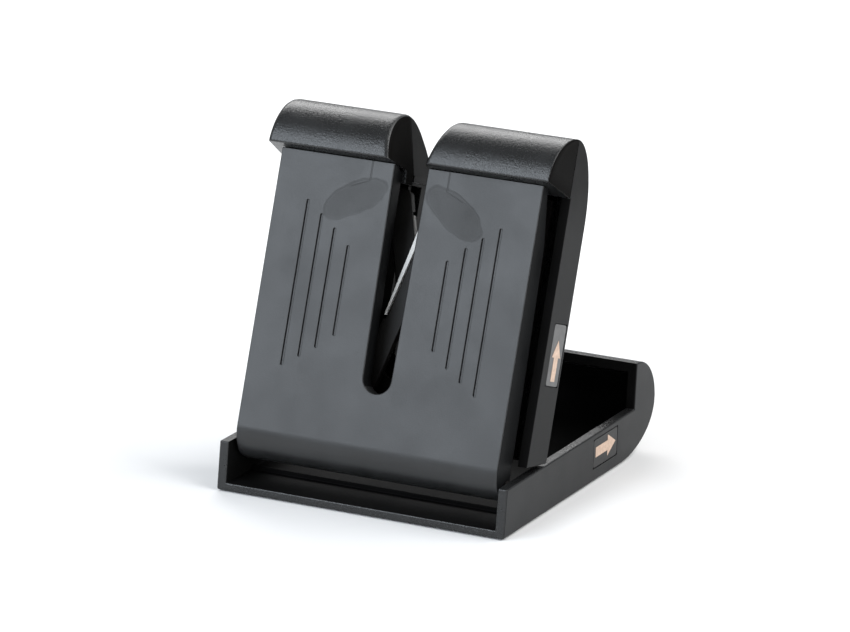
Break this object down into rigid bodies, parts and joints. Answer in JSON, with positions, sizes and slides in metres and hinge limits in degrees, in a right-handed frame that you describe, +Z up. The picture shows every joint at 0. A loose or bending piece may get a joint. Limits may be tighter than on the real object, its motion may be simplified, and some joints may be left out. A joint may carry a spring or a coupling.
{
  "type": "folding knife sharpener",
  "caption": "Folding pocket knife sharpener: a shallow tray carries a leaning slotted upright in which two sprung arms with ceramic hones cross.",
  "frame": {"origin": "centre of the outline's bottom face, on the plane that the foot pads stand on", "axes": "+X to the user's right, across the object; +Y to the rear, towards the tray's high round end; +Z up"},
  "size_m": [0.09, 0.1054, 0.1069],
  "materials": {
    "black_plastic": "moulded, fine grain, satin",
    "plate_plastic": "moulded, smooth, satin",
    "grey_plastic": "moulded, matte",
    "ceramic": "fired, fine matte",
    "steel": "bright zinc plated",
    "rubber": "matte",
    "label": "thin printed film"
  },
  "bodies": {
    "base": {"base_shell": "black_plastic", "foot_pad_front_left": "rubber", "foot_pad_front_right": "rubber", "foot_pad_rear_left": "rubber", "foot_pad_rear_right": "rubber", "arrow_label_base": "label"},
    "carriage": {"hinge_axle": "steel", "axle_washer_left": "grey_plastic", "axle_washer_right": "grey_plastic"},
    "upright": {"back_shell": "black_plastic", "front_cover": "plate_plastic", "head_cap_left": "black_plastic", "head_cap_right": "black_plastic", "mechanism_plate": "grey_plastic", "pivot_pin_left": "steel", "pivot_pin_right": "steel", "case_screw_lower_left": "steel", "case_screw_upper_left": "steel", "case_screw_lower_right": "steel", "case_screw_upper_right": "steel", "head_screw_left": "steel", "head_screw_right": "steel", "arrow_label_upright": "label"},
    "front_arm_body": {"front_arm": "grey_plastic", "front_hone": "ceramic", "front_spring": "steel"},
    "rear_arm_body": {"rear_arm": "grey_plastic", "rear_hone": "ceramic", "rear_spring": "steel"}
  },
  "joints": [
    {"name": "carriage_slide", "type": "slide", "parent": "base", "child": "carriage", "axis": [0, 1, 0], "range_m": [0, 0.0723]},
    {"name": "fold", "type": "hinge", "parent": "carriage", "child": "upright", "pos_m": [0, -0.04357, 0.0119], "axis": [1, 0, 0], "range_deg": [0, 107.96]},
    {"name": "front_arm_swing", "type": "hinge", "parent": "upright", "child": "front_arm_body", "pos_m": [-0.0085, -0.03661, 0.02705], "axis": [0, 0.9513, -0.3084], "range_deg": [0, 8], "stiffness_Nm_per_rad": 0.02, "springref_deg": -11.46},
    {"name": "rear_arm_swing", "type": "hinge", "parent": "upright", "child": "rear_arm_body", "pos_m": [0.0085, -0.03376, 0.02613], "axis": [0, -0.9513, 0.3084], "range_deg": [0, 8], "stiffness_Nm_per_rad": 0.02, "springref_deg": -11.46}
  ],
  "couplings": [
    {"joint": "carriage_slide", "follows": "fold", "m_per_rad": 0.03832}
  ]
}
